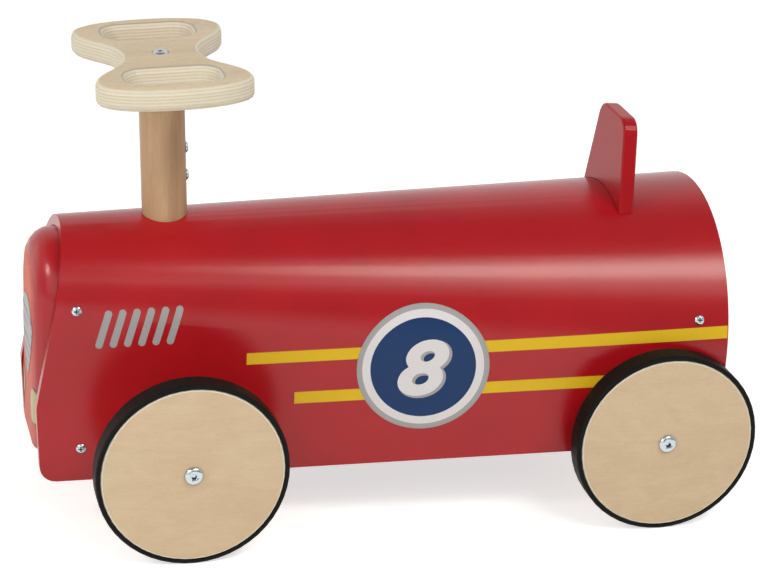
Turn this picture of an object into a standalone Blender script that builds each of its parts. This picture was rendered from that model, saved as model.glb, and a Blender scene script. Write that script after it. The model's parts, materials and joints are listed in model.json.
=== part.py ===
"""Wooden ride-on car for a small child.

A tapered sheet of bent plywood is the body. A nose block and a rear panel close it, a board across the roof
is the seat back, and a round post with a butterfly shaped handle turns the front axle beam.
Units are metres, +Z is up, the car's front points along -Y, and the wheels stand on z = 0.
"""

import math

import bmesh
import bpy
from mathutils import Matrix, Vector

# Wheels
WHEELBASE = 0.375
DISC_RADIUS = 0.070
DISC_WIDTH = 0.018
TYRE_DEPTH = 0.0036
TYRE_OVERLAP = 0.0003
WHEEL_FACE = 0.1360
WHEEL_GAP = 0.0071
AXLE_RADIUS = 0.004
BUSH_RADIUS = 0.006
FLANGE_RADIUS = 0.009
CAP_RADIUS = 0.0072
CAP_HEIGHT = 0.0026

# Body: values at the front axle and at the rear axle, heights above the axles
FRONT_HALF_WIDTH = 0.0675
FRONT_CREST = 0.1616
REAR_CREST = 0.1692
FRONT_FOOT = -0.0312
REAR_FOOT = -0.0137
SHEET = 0.008
FRONT_OVERHANG = 0.1078
REAR_OVERHANG = 0.0513
KNEE_HEIGHT = 0.0259
FOOT_TUCK = 0.0028
FRONT_LEAN = math.radians(10.3)
REAR_LEAN = math.radians(2.2)

# Nose block and rear panel
NOSE_ROUNDING = 0.020
NOSE_LENGTH = 0.040
NOSE_FOOT = -0.0160
PANEL_THICKNESS = 0.018
PANEL_SETBACK = 0.016
BLOCK_AHEAD = 0.020
BLOCK_ABOVE = 0.020
BLOCK_BELOW = 0.011

# Seat back
BACK_SETBACK = 0.0209
BACK_LEAN = math.radians(3.8)
BACK_THICKNESS = 0.0120
BACK_HEIGHT = 0.2306
BACK_HALF_FOOT = 0.0452
BACK_HALF_TOP = 0.0285
BACK_ROUNDING = 0.014

# Steering
STEER_LEAN = math.radians(2.0)
STEER_OFFSET = 0.0041
STEER_LIMIT = math.radians(18.0)
POST_RADIUS = 0.0175
HANDLE_TOP = 0.2893
HANDLE_THICKNESS = 0.0170
HANDLE_HALF_LENGTH = 0.0970
HANDLE_HALF_DEPTH = 0.0588
HANDLE_HALF_WAIST = 0.0300
HANDLE_LOBE = 0.0683
HANDLE_EDGE = 0.0042
HANDLE_SCREW_RADIUS = 0.0063
HANDLE_SCREW_SINK = 0.0021
HANDLE_GRIP = 0.040
SLOT_MIDDLE = 0.0602
SLOT_WIDTH = 0.040
SLOT_LENGTH = 0.068
SLOT_ROUNDING = 0.014
BEAM_HALF_DEPTH = 0.015
BEAM_BELOW = 0.015
BEAM_ABOVE = 0.017
BOARD_THICKNESS = 0.018
BOARD_SPACING = 0.0464
COLLAR_WIDTH = 0.009
COLLAR_HEIGHT = 0.012

# Fits and facets
GAP = 0.0003
ARCH_STEPS = 36
WHEEL_STEPS = 52
POST_STEPS = 32
CAP_STEPS = 20
SCREW_STEPS = 14

# Sizes that follow
TYRE_RADIUS = DISC_RADIUS + GAP + TYRE_DEPTH
DISC_MIDDLE = WHEEL_FACE - DISC_WIDTH / 2
WHEEL_BACK = WHEEL_FACE - DISC_WIDTH
REAR_HALF_WIDTH = WHEEL_BACK - WHEEL_GAP
FLANGE_THICKNESS = WHEEL_GAP - 0.0026
LENGTH = FRONT_OVERHANG + WHEELBASE + TYRE_RADIUS
FRONT_AXLE_Y = FRONT_OVERHANG - LENGTH / 2
FLARE = (REAR_HALF_WIDTH - FRONT_HALF_WIDTH) / WHEELBASE
LINING = (SHEET + GAP) * math.sqrt(1 + FLARE * FLARE)

PARTS = None
CUTTERS = None


def clear_scene():
    for obj in list(bpy.data.objects):
        bpy.data.objects.remove(obj, do_unlink=True)
    for collection in list(bpy.data.collections):
        bpy.data.collections.remove(collection)


def new_collection(name):
    collection = bpy.data.collections.new(name)
    bpy.context.scene.collection.children.link(collection)
    return collection


def material(name, colour, roughness, metallic=0.0):
    made = bpy.data.materials.get(name) or bpy.data.materials.new(name)
    made.use_nodes = True
    shader = made.node_tree.nodes["Principled BSDF"]
    shader.inputs["Base Color"].default_value = (*colour, 1.0)
    shader.inputs["Roughness"].default_value = roughness
    shader.inputs["Metallic"].default_value = metallic
    made.diffuse_color = (*colour, 1.0)
    return made


def red_paint():
    return material("red_paint", (0.42, 0.021, 0.027), 0.38)


def nose_paint():
    return material("nose_paint", (0.46, 0.026, 0.030), 0.36)


def disc_plywood():
    return material("disc_plywood", (0.62, 0.47, 0.29), 0.55)


def handle_plywood():
    return material("handle_plywood", (0.66, 0.52, 0.35), 0.5)


def post_wood():
    return material("post_wood", (0.46, 0.28, 0.15), 0.5)


def inner_wood():
    return material("inner_wood", (0.55, 0.40, 0.24), 0.65)


def tyre_rubber():
    return material("tyre_rubber", (0.022, 0.022, 0.022), 0.62)


def bush_nylon():
    return material("bush_nylon", (0.72, 0.72, 0.69), 0.5)


def screw_steel():
    return material("screw_steel", (0.62, 0.64, 0.66), 0.28, 1.0)


def axle_steel():
    return material("axle_steel", (0.50, 0.51, 0.52), 0.35, 1.0)


def empty(name, parent, location, tilt=0.0):
    made = bpy.data.objects.new(name, None)
    made.empty_display_size = 0.03
    PARTS.objects.link(made)
    made.parent = parent
    made.location = location
    made.rotation_euler = (tilt, 0.0, 0.0)
    return made


def piece(name, mesh, paint, parent):
    if not mesh.materials:
        mesh.materials.append(paint)
    made = bpy.data.objects.new(name, mesh)
    PARTS.objects.link(made)
    made.parent = parent
    return made


def cutter(name, mesh, parent):
    made = bpy.data.objects.new(name, mesh)
    CUTTERS.objects.link(made)
    made.parent = parent
    made.hide_render = True
    made.display_type = "WIRE"
    return made


def cut(obj, tool, operation="DIFFERENCE"):
    modifier = obj.modifiers.new(operation.lower() + "_" + tool.name, "BOOLEAN")
    modifier.operation = operation
    modifier.solver = "EXACT"
    modifier.object = tool


def finished_mesh(obj, name):
    """The object's mesh as its modifiers make it."""
    bpy.context.view_layer.update()
    graph = bpy.context.evaluated_depsgraph_get()
    mesh = bpy.data.meshes.new_from_object(obj.evaluated_get(graph))
    mesh.name = name
    return mesh


def filleted(corners, steps=5):
    """Points round a polygon whose corners are (x, y, radius)."""
    points = []
    count = len(corners)
    for index, (x, y, radius) in enumerate(corners):
        here = Vector((x, y))
        if radius == 0.0:
            points.append(here)
            continue
        before = Vector(corners[index - 1][:2])
        after = Vector(corners[(index + 1) % count][:2])
        back = (before - here).normalized()
        ahead = (after - here).normalized()
        half = back.angle(ahead) / 2
        reach = radius / math.tan(half)
        centre = here + (back + ahead).normalized() * (radius / math.sin(half))
        start = here + back * reach - centre
        end = here + ahead * reach - centre
        turn = start.angle_signed(end)
        for step in range(steps + 1):
            arm = start.copy()
            arm.rotate(Matrix.Rotation(-turn * step / steps, 2))
            points.append(centre + arm)
    return points


def closed_poly(curve, points):
    spline = curve.splines.new("POLY")
    spline.points.add(len(points) - 1)
    for slot, point in zip(spline.points, points):
        slot.co = (point[0], point[1], 0.0, 1.0)
    spline.use_cyclic_u = True


def flat_curve(name, thickness, edge=0.0):
    """A filled 2D curve; edge rounds its outline without changing its size."""
    curve = bpy.data.curves.new(name, "CURVE")
    curve.dimensions = "2D"
    curve.fill_mode = "BOTH"
    curve.extrude = thickness / 2 - edge
    curve.bevel_depth = edge
    curve.bevel_resolution = 1
    curve.offset = -edge
    curve.render_resolution_u = 0
    return curve


def plate_mesh(curve, name):
    """The welded mesh of a filled curve."""
    drawn = bpy.data.objects.new(name + "_curve", curve)
    PARTS.objects.link(drawn)
    mesh = finished_mesh(drawn, name)
    mesh.materials.clear()
    bpy.data.objects.remove(drawn, do_unlink=True)
    bm = bmesh.new()
    bm.from_mesh(mesh)
    bmesh.ops.remove_doubles(bm, verts=bm.verts, dist=0.000002)
    bmesh.ops.recalc_face_normals(bm, faces=bm.faces)
    bm.to_mesh(mesh)
    bm.free()
    return mesh


def outline_mesh(name, points, thickness, edge=0.0):
    curve = flat_curve(name, thickness, edge)
    closed_poly(curve, points)
    return plate_mesh(curve, name)


def turned(name, profile, steps, paint, parent, ring=False):
    """A turned piece about its own Z axis; profile holds (radius, height), down the outer side."""
    mesh = bpy.data.meshes.new(name)
    bm = bmesh.new()
    verts = [bm.verts.new((radius, 0.0, height)) for radius, height in profile]
    for first, second in zip(verts, verts[1:]):
        bm.edges.new((first, second))
    if ring:
        bm.edges.new((verts[-1], verts[0]))
    bm.to_mesh(mesh)
    bm.free()
    made = piece(name, mesh, paint, parent)
    screw = made.modifiers.new("turn", "SCREW")
    screw.angle = math.tau
    screw.steps = steps
    screw.render_steps = steps
    screw.use_merge_vertices = True
    screw.merge_threshold = 0.00001
    screw.use_smooth_shade = False
    return made


def ring_profile(inner, outer, low, high):
    return [(inner, high), (outer, high), (outer, low), (inner, low)]


def rods_mesh(name, rods, steps):
    """Cylinders in one mesh; each rod is (start, end, radius)."""
    mesh = bpy.data.meshes.new(name)
    bm = bmesh.new()
    for start, end, radius in rods:
        start = Vector(start)
        way = Vector(end) - start
        turn = way.to_track_quat("Z", "Y").to_matrix().to_4x4()
        place = Matrix.Translation(start + way / 2) @ turn
        bmesh.ops.create_cone(
            bm,
            cap_ends=True,
            segments=steps,
            radius1=radius,
            radius2=radius,
            depth=way.length,
            matrix=place,
        )
    bm.to_mesh(mesh)
    bm.free()
    return mesh


def along(front, rear, distance):
    """A value that changes evenly from the front axle to the rear axle."""
    return front + (rear - front) * distance / WHEELBASE


def half_width(distance):
    return along(FRONT_HALF_WIDTH, REAR_HALF_WIDTH, distance)


def crest(distance):
    return along(FRONT_CREST, REAR_CREST, distance)


def foot(distance):
    return along(FRONT_FOOT, REAR_FOOT, distance)


def section(distance, lining, low):
    """The body's outline across the car: up one wall, over the arch and down the other wall."""
    radius = half_width(distance) - lining
    centre = crest(distance) - half_width(distance)
    points = [(radius, low)]
    for step in range(ARCH_STEPS + 1):
        angle = math.pi * step / ARCH_STEPS
        points.append((radius * math.cos(angle), centre + radius * math.sin(angle)))
    points.append((-radius, low))
    return [Vector((x, distance, z)) for x, z in points]


def loft(bm, first, second, closed):
    """Faces between two sections with the same count of points, and end caps on a closed one."""
    front = [bm.verts.new(point) for point in first]
    back = [bm.verts.new(point) for point in second]
    count = len(front)
    for index in range(count if closed else count - 1):
        after = (index + 1) % count
        bm.faces.new((front[index], back[index], back[after], front[after]))
    if closed:
        bm.faces.new(front)
        bm.faces.new(list(reversed(back)))
    bmesh.ops.recalc_face_normals(bm, faces=bm.faces)


def form_mesh(name, start, end, lining, low):
    """A solid that fills the body's section between two distances from the front axle."""
    mesh = bpy.data.meshes.new(name)
    bm = bmesh.new()
    loft(bm, section(start, lining, low), section(end, lining, low), True)
    bm.to_mesh(mesh)
    bm.free()
    return mesh


def skin(distance, height, side):
    """A point on the body's outside and the way the surface faces there."""
    radius = half_width(distance)
    centre = crest(distance) - radius
    rise = max(height - centre, 0.0)
    reach = math.sqrt(radius * radius - rise * rise)
    crest_slope = (REAR_CREST - FRONT_CREST) / WHEELBASE
    slope = -FLARE - (rise / radius) * (crest_slope - FLARE)
    facing = Vector((side * reach / radius, slope, rise / radius)).normalized()
    return Vector((side * reach, distance, height)), facing


def notch_edge(side_way):
    """How far the axle beam's side reaches, in front of the axle (-1) or behind it (1), at full lock."""
    sine = math.sin(STEER_LIMIT)
    face = BEAM_HALF_DEPTH - side_way * STEER_OFFSET
    near = STEER_OFFSET + side_way * (face + FRONT_HALF_WIDTH * sine) / math.cos(STEER_LIMIT)
    reach = (face + half_width(near) * sine) / math.cos(STEER_LIMIT)
    return STEER_OFFSET + side_way * (reach + 0.004)


def side_outline():
    """The body's side view: distance behind the front axle and height."""
    front = -FRONT_OVERHANG
    tucked = front + FOOT_TUCK
    above = max(FRONT_CREST, REAR_CREST) + 0.03
    below = REAR_OVERHANG + WHEELBASE - math.tan(REAR_LEAN) * 0.08
    notch_top = BEAM_ABOVE + 0.003
    notch_front = notch_edge(-1)
    notch_back = notch_edge(1)
    return filleted(
        [
            (tucked, foot(tucked), 0.012),
            (notch_front, foot(notch_front), 0.003),
            (notch_front, notch_top, 0.010),
            (notch_back, notch_top, 0.010),
            (notch_back, foot(notch_back), 0.003),
            (below, foot(below), 0.010),
            (below + math.tan(REAR_LEAN) * (above - foot(below)), above, 0.0),
            (front + math.tan(FRONT_LEAN) * (above - KNEE_HEIGHT), above, 0.0),
            (front, KNEE_HEIGHT, 0.030),
        ]
    )


def body_shell(chassis):
    """Bent sheet, wider at the rear, trimmed to the side view."""
    mesh = bpy.data.meshes.new("body_shell")
    bm = bmesh.new()
    low = FRONT_FOOT - 0.03
    ahead = section(-FRONT_OVERHANG - 0.02, 0.0, low)
    behind = section(WHEELBASE + REAR_OVERHANG + 0.03, 0.0, low)
    loft(bm, ahead, behind, False)
    top = max(bm.faces, key=lambda face: face.calc_center_median().z)
    if top.normal.z < 0.0:
        bmesh.ops.reverse_faces(bm, faces=bm.faces)
    bm.to_mesh(mesh)
    bm.free()
    shell = piece("body_shell", mesh, red_paint(), chassis)
    sheet = shell.modifiers.new("sheet", "SOLIDIFY")
    sheet.thickness = SHEET
    sheet.offset = -1.0
    sheet.use_even_offset = True
    trim = cutter("side_view", outline_mesh("side_view", side_outline(), 0.5), chassis)
    trim.rotation_euler = (math.pi / 2, 0.0, math.pi / 2)
    cut(shell, trim, "INTERSECT")
    return shell


def nose_block(chassis):
    """Block inside the front of the shell; its front edge is well rounded except at the foot."""
    face_y = -FRONT_OVERHANG
    mesh = form_mesh("nose_block", face_y - 0.04, face_y + NOSE_LENGTH, LINING, NOSE_FOOT)
    bm = bmesh.new()
    bm.from_mesh(mesh)
    bmesh.ops.bisect_plane(
        bm,
        geom=list(bm.verts) + list(bm.edges) + list(bm.faces),
        plane_co=(0.0, face_y, 0.0),
        plane_no=(0.0, -1.0, 0.0),
        clear_outer=True,
    )
    bmesh.ops.holes_fill(bm, edges=bm.edges)
    bmesh.ops.recalc_face_normals(bm, faces=bm.faces)
    weights = bm.edges.layers.float.new("bevel_weight_edge")
    for edge in bm.edges:
        on_face = all(abs(vert.co.y - face_y) < 0.00001 for vert in edge.verts)
        at_foot = all(abs(vert.co.z - NOSE_FOOT) < 0.00001 for vert in edge.verts)
        edge[weights] = 1.0 if on_face and not at_foot else 0.0
    bm.to_mesh(mesh)
    bm.free()
    nose = piece("nose_block", mesh, nose_paint(), chassis)
    rounding = nose.modifiers.new("front_edge", "BEVEL")
    rounding.limit_method = "WEIGHT"
    rounding.width = NOSE_ROUNDING
    rounding.segments = 5
    rounding.use_clamp_overlap = False
    return nose


def panel_front():
    return WHEELBASE + REAR_OVERHANG - PANEL_SETBACK - PANEL_THICKNESS


def rear_panel(chassis):
    start = panel_front()
    low = foot(start) + 0.003
    mesh = form_mesh("rear_panel", start, start + PANEL_THICKNESS, LINING, low)
    return piece("rear_panel", mesh, red_paint(), chassis)


def rear_axle_block(chassis):
    """Block between the walls, glued to the rear panel, that holds the rear axle."""
    start = WHEELBASE - BLOCK_AHEAD
    end = panel_front() - GAP
    mesh = slab_mesh("rear_axle_block", start, end, -BLOCK_BELOW, BLOCK_ABOVE, 0.0)
    return piece("rear_axle_block", mesh, inner_wood(), chassis)


def slab_mesh(name, start, end, low, high, rise):
    """A board from wall to wall between two distances; rise tilts it along the car."""
    mesh = bpy.data.meshes.new(name)
    bm = bmesh.new()
    ends = []
    for distance in (start, end):
        reach = half_width(distance) - LINING
        lift = rise * distance
        corners = [(reach, low), (reach, high), (-reach, high), (-reach, low)]
        ends.append([Vector((x, distance, z + lift)) for x, z in corners])
    loft(bm, ends[0], ends[1], True)
    bm.to_mesh(mesh)
    bm.free()
    return mesh


def steering_board(name, low, chassis):
    """Board with the bore that guides the post, square to the post's lean."""
    start = -FRONT_OVERHANG + NOSE_LENGTH + GAP
    end = STEER_OFFSET + POST_RADIUS + 0.022
    base = low / math.cos(STEER_LEAN)
    top = (low + BOARD_THICKNESS) / math.cos(STEER_LEAN)
    mesh = slab_mesh(name, start, end, base, top, math.tan(STEER_LEAN))
    return piece(name, mesh, inner_wood(), chassis)


def backrest(chassis):
    """Tapered board across the roof, leaning back, its foot shaped to the arch."""
    low = crest(WHEELBASE) - TYRE_RADIUS * 0.35
    slope = (BACK_HALF_FOOT - BACK_HALF_TOP) / (BACK_HEIGHT - (crest(WHEELBASE) - 0.010))
    widest = BACK_HALF_TOP + slope * (BACK_HEIGHT - low)
    height = (BACK_HEIGHT - low) / math.cos(BACK_LEAN)
    points = filleted(
        [
            (widest, 0.0, 0.0),
            (BACK_HALF_TOP, height, BACK_ROUNDING),
            (-BACK_HALF_TOP, height, BACK_ROUNDING),
            (-widest, 0.0, 0.0),
        ]
    )
    mesh = outline_mesh("backrest", points, BACK_THICKNESS, 0.0015)
    board = piece("backrest", mesh, red_paint(), chassis)
    front = WHEELBASE - BACK_SETBACK + BACK_THICKNESS / 2
    drop = crest(WHEELBASE) - low
    board.location = (0.0, front - drop * math.tan(BACK_LEAN), low)
    board.rotation_euler = (math.pi / 2 - BACK_LEAN, 0.0, 0.0)
    arch = form_mesh("arch_form", WHEELBASE - 0.08, WHEELBASE + 0.06, -GAP, 0.0)
    cut(board, cutter("arch_form", arch, chassis))
    return board


def cross_screw_mesh(length):
    """Wood screw with a raised head and a cross recess, its head's underside at z = 0."""
    profile = [
        (0.0, 0.0019),
        (0.0016, 0.0018),
        (0.0030, 0.0013),
        (0.0038, 0.0005),
        (0.0039, 0.0),
        (0.0018, 0.0),
        (0.0018, 0.003 - length),
        (0.0, -length),
    ]
    drawn = turned("cross_screw", profile, SCREW_STEPS, screw_steel(), None)
    mesh = bpy.data.meshes.new("cross_recess")
    bm = bmesh.new()
    for size in ((0.0040, 0.0010, 0.0020), (0.0010, 0.0040, 0.0020)):
        place = Matrix.Translation((0.0, 0.0, 0.0018)) @ Matrix.Diagonal((*size, 1.0))
        bmesh.ops.create_cube(bm, size=1.0, matrix=place)
    bm.to_mesh(mesh)
    bm.free()
    recess = cutter("cross_recess", mesh, None)
    modifier = drawn.modifiers.new("recess", "BOOLEAN")
    modifier.operation = "DIFFERENCE"
    modifier.solver = "EXACT"
    modifier.use_self = True
    modifier.object = recess
    made = finished_mesh(drawn, "cross_screw")
    bpy.data.objects.remove(drawn, do_unlink=True)
    bpy.data.objects.remove(recess, do_unlink=True)
    return made


def cap_screw_mesh(name, radius, height, shank, length):
    """Connector screw with a flat bevelled head and a hex socket, its head's underside at z = 0."""
    profile = [
        (0.0, height),
        (radius * 0.76, height),
        (radius * 0.97, height * 0.52),
        (radius, height * 0.35),
        (radius, 0.0),
        (shank, 0.0),
        (shank, -length),
        (0.0, -length),
    ]
    drawn = turned(name, profile, CAP_STEPS, screw_steel(), None)
    top = height + 0.001
    hexagon = rods_mesh("hex_socket", [((0.0, 0.0, height * 0.2), (0.0, 0.0, top), radius * 0.32)], 6)
    socket = cutter("hex_socket", hexagon, None)
    cut(drawn, socket)
    made = finished_mesh(drawn, name)
    bpy.data.objects.remove(drawn, do_unlink=True)
    bpy.data.objects.remove(socket, do_unlink=True)
    return made


def screw_places():
    """Name, distance behind the front axle, height and side of each body screw."""
    front = -FRONT_OVERHANG + 0.0306
    rear = panel_front() + 0.0113
    places = []
    for side, word in ((1, "left"), (-1, "right")):
        places.append(("screw_front_upper_" + word, front, 0.106, side))
        places.append(("screw_front_lower_" + word, front + 0.003, -0.0075, side))
        places.append(("screw_rear_upper_" + word, rear, 0.0916, side))
        places.append(("screw_rear_lower_" + word, rear, 0.040, side))
    return places


def body_screws(chassis, shell, nose, panel):
    length = 0.026
    mesh = cross_screw_mesh(length)
    holes = []
    for name, distance, height, side in screw_places():
        point, facing = skin(distance, height, side)
        made = piece(name, mesh, screw_steel(), chassis)
        made.location = point + facing * (GAP + 0.0001)
        made.rotation_euler = facing.to_track_quat("Z", "Y").to_euler()
        holes.append((point - facing * (length + 0.001), point + facing * 0.004, 0.0021))
    tool = cutter("body_screw_holes", rods_mesh("body_screw_holes", holes, SCREW_STEPS), chassis)
    for obj in (shell, nose, panel):
        cut(obj, tool)


def back_screws(chassis, shell, board):
    """Screws from inside the roof up into the seat back's foot."""
    up = Vector((0.0, math.sin(BACK_LEAN), math.cos(BACK_LEAN)))
    middle = WHEELBASE - BACK_SETBACK + BACK_THICKNESS / 2
    mesh = cross_screw_mesh(0.030)
    holes = []
    for side, word in ((1, "left"), (-1, "right")):
        across = side * BACK_HALF_TOP * 0.75
        radius = half_width(middle) - SHEET
        outer = half_width(middle)
        roof = crest(middle) - outer + math.sqrt(radius * radius - across * across)
        start = Vector((across, middle, roof)) - up * 0.0016
        made = piece("backrest_screw_" + word, mesh, screw_steel(), chassis)
        made.location = start
        made.rotation_euler = (-up).to_track_quat("Z", "Y").to_euler()
        holes.append((start - up * 0.0002, start + up * 0.032, 0.0021))
    tool = cutter("back_screw_holes", rods_mesh("back_screw_holes", holes, SCREW_STEPS), chassis)
    cut(shell, tool)
    cut(board, tool)


def steering_post(pivot):
    """Round post from its socket in the beam to the handle's underside."""
    low = AXLE_RADIUS + 0.004
    high = HANDLE_TOP - HANDLE_THICKNESS - GAP
    profile = [(0.0, high), (POST_RADIUS, high), (POST_RADIUS, low), (0.0, low)]
    return turned("steering_post", profile, POST_STEPS, post_wood(), pivot)


def handle_outline(curve):
    """Two lobes and a waist, drawn with eight control points."""
    ends = HANDLE_HALF_LENGTH
    deep = HANDLE_HALF_DEPTH
    lobe = HANDLE_LOBE
    end_pull = deep * 0.494
    lobe_pull = (ends - lobe) * 0.75
    waist_pull = lobe * 0.49
    inner_pull = lobe * 0.45
    knots = [
        ((0.0, -HANDLE_HALF_WAIST), (-waist_pull, 0.0), (waist_pull, 0.0)),
        ((lobe, -deep), (-inner_pull, 0.0), (lobe_pull, 0.0)),
        ((ends, 0.0), (0.0, -end_pull), (0.0, end_pull)),
        ((lobe, deep), (lobe_pull, 0.0), (-inner_pull, 0.0)),
        ((0.0, HANDLE_HALF_WAIST), (waist_pull, 0.0), (-waist_pull, 0.0)),
        ((-lobe, deep), (inner_pull, 0.0), (-lobe_pull, 0.0)),
        ((-ends, 0.0), (0.0, end_pull), (0.0, -end_pull)),
        ((-lobe, -deep), (-lobe_pull, 0.0), (inner_pull, 0.0)),
    ]
    spline = curve.splines.new("BEZIER")
    spline.bezier_points.add(len(knots) - 1)
    for slot, (place, before, after) in zip(spline.bezier_points, knots):
        slot.handle_left_type = "FREE"
        slot.handle_right_type = "FREE"
        slot.co = (*place, 0.0)
        slot.handle_left = (place[0] + before[0], place[1] + before[1], 0.0)
        slot.handle_right = (place[0] + after[0], place[1] + after[1], 0.0)
    spline.use_cyclic_u = True
    spline.resolution_u = 7


def handle(pivot):
    """Plywood plate with a hand slot in each lobe and a hole for its screw."""
    curve = flat_curve("handle", HANDLE_THICKNESS, HANDLE_EDGE)
    curve.resolution_u = 7
    handle_outline(curve)
    half = SLOT_WIDTH / 2
    reach = SLOT_LENGTH / 2
    for side in (1, -1):
        middle = side * SLOT_MIDDLE
        corners = [
            (middle + half, -reach, SLOT_ROUNDING),
            (middle + half, reach, SLOT_ROUNDING),
            (middle - half, reach, SLOT_ROUNDING),
            (middle - half, -reach, SLOT_ROUNDING),
        ]
        closed_poly(curve, filleted(corners))
    plate = piece("handle", plate_mesh(curve, "handle"), handle_plywood(), pivot)
    plate.location = (0.0, 0.0, HANDLE_TOP - HANDLE_THICKNESS / 2)
    return plate


def handle_screw(pivot, plate, post):
    """Screw down through the handle into the post, its head sunk in the plate."""
    length = HANDLE_THICKNESS + HANDLE_GRIP
    seat = HANDLE_TOP - HANDLE_SCREW_SINK
    mesh = cap_screw_mesh("handle_screw", HANDLE_SCREW_RADIUS, CAP_HEIGHT, 0.003, length)
    made = piece("handle_screw", mesh, screw_steel(), pivot)
    made.location = (0.0, 0.0, seat + GAP)
    above = HANDLE_TOP + 0.005
    hole = [((0.0, 0.0, seat - length - 0.001), (0.0, 0.0, above), 0.003 + GAP)]
    recess = [((0.0, 0.0, seat), (0.0, 0.0, above), HANDLE_SCREW_RADIUS + GAP)]
    tool = cutter("handle_screw_hole", rods_mesh("handle_screw_hole", hole, SCREW_STEPS), pivot)
    cut(plate, tool)
    cut(post, tool)
    cut(plate, cutter("handle_screw_recess", rods_mesh("handle_screw_recess", recess, CAP_STEPS), pivot))


def post_bolts(pivot, post):
    """Two small bolts in flats on the post's rear side."""
    radius = 0.0045
    seat = POST_RADIUS - 0.0008
    mesh = cap_screw_mesh("post_bolt", radius, 0.0022, 0.002, 0.022)
    rods = []
    for word, down in (("upper", 0.0765), ("lower", 0.0986)):
        height = HANDLE_TOP - down
        made = piece("post_bolt_" + word, mesh, screw_steel(), pivot)
        made.location = (0.0, seat + GAP, height)
        made.rotation_euler = (-math.pi / 2, 0.0, 0.0)
        rods.append(((0.0, seat, height), (0.0, seat + 0.01, height), radius + GAP))
        rods.append(((0.0, seat - 0.024, height), (0.0, seat + 0.005, height), 0.002 + GAP))
    flats = cutter("post_bolt_flats", rods_mesh("post_bolt_flats", rods[0::2], SCREW_STEPS), pivot)
    holes = cutter("post_bolt_holes", rods_mesh("post_bolt_holes", rods[1::2], SCREW_STEPS), pivot)
    cut(post, flats)
    cut(post, holes)


def front_axle_beam(pivot):
    """Beam that carries the front axle: a wide boss under the post, slim where it leaves the body."""
    ends = WHEEL_BACK - WHEEL_GAP + 0.0008
    slim = BEAM_HALF_DEPTH
    boss = BEAM_HALF_DEPTH + 0.012
    middle = -STEER_OFFSET
    corners = [
        (ends, middle - slim, 0.002),
        (ends, middle + slim, 0.002),
        (0.044, middle + slim, 0.006),
        (0.029, middle + boss, 0.006),
        (-0.029, middle + boss, 0.006),
        (-0.044, middle + slim, 0.006),
        (-ends, middle + slim, 0.002),
        (-ends, middle - slim, 0.002),
        (-0.044, middle - slim, 0.006),
        (-0.029, middle - boss, 0.006),
        (0.029, middle - boss, 0.006),
        (0.044, middle - slim, 0.006),
    ]
    tall = BEAM_BELOW + BEAM_ABOVE
    mesh = outline_mesh("front_axle_beam", filleted(corners, 3), tall)
    beam = piece("front_axle_beam", mesh, inner_wood(), pivot)
    beam.location = (0.0, 0.0, (BEAM_ABOVE - BEAM_BELOW) / 2)
    floor = AXLE_RADIUS + 0.004 - GAP
    socket = [((0.0, 0.0, floor), (0.0, 0.0, BEAM_ABOVE + 0.01), POST_RADIUS + GAP)]
    cut(beam, cutter("post_socket", rods_mesh("post_socket", socket, POST_STEPS), pivot))
    return beam


def beam_screw(pivot, beam, post):
    """Screw up through the beam, behind the axle, into the post's foot."""
    back = AXLE_RADIUS + 0.0045
    made = piece("beam_screw", cross_screw_mesh(0.045), screw_steel(), pivot)
    made.location = (0.0, back, -BEAM_BELOW - GAP)
    made.rotation_euler = (math.pi, 0.0, 0.0)
    hole = [((0.0, back, -BEAM_BELOW - 0.002), (0.0, back, 0.046 - BEAM_BELOW), 0.0021)]
    tool = cutter("beam_screw_hole", rods_mesh("beam_screw_hole", hole, SCREW_STEPS), pivot)
    cut(beam, tool)
    cut(post, tool)


def bearing_rings(pivot):
    """Washer between the beam and the lower board, and the collar that holds the post down."""
    inner = POST_RADIUS + GAP
    low = BEAM_ABOVE + GAP
    profile = ring_profile(inner, POST_RADIUS + 0.0055, low, low + 0.003)
    turned("thrust_washer", profile, POST_STEPS, bush_nylon(), pivot, ring=True)
    under = board_height(1) - GAP
    profile = ring_profile(inner, POST_RADIUS + COLLAR_WIDTH, under - COLLAR_HEIGHT, under)
    turned("post_collar", profile, POST_STEPS, inner_wood(), pivot, ring=True)


def board_height(index):
    """Underside of the lower (0) or upper (1) steering board, along the post."""
    return BEAM_ABOVE + 0.003 + 2 * GAP + index * BOARD_SPACING


def post_bore(pivot, shell, boards):
    """Opening for the post in the roof and in both steering boards."""
    low = board_height(0) - 0.01
    high = FRONT_CREST + 0.02
    bore = [((0.0, 0.0, low), (0.0, 0.0, high), POST_RADIUS + GAP)]
    tool = cutter("post_bore", rods_mesh("post_bore", bore, POST_STEPS), pivot)
    cut(shell, tool)
    for board in boards:
        cut(board, tool)


def axle(name, parent, back):
    """Steel rod with a threaded hole in each end for its cap screw."""
    half = WHEEL_FACE - GAP
    bar = [((-half, 0.0, 0.0), (half, 0.0, 0.0), AXLE_RADIUS)]
    made = piece(name, rods_mesh(name, bar, CAP_STEPS), axle_steel(), parent)
    made.location = (0.0, back, 0.0)
    ends = []
    for side in (1, -1):
        ends.append(((side * (half - 0.024), 0.0, 0.0), (side * (half + 0.005), 0.0, 0.0), 0.0028))
    tool = cutter(name + "_ends", rods_mesh(name + "_ends", ends, SCREW_STEPS), parent)
    tool.location = made.location
    cut(made, tool)
    return made


def axle_bore(name, parent, back, targets):
    """Cross hole for an axle."""
    reach = WHEEL_FACE
    bar = [((-reach, 0.0, 0.0), (reach, 0.0, 0.0), AXLE_RADIUS + GAP)]
    tool = cutter(name, rods_mesh(name, bar, CAP_STEPS), parent)
    tool.location = (0.0, back, 0.0)
    for obj in targets:
        cut(obj, tool)


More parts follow.
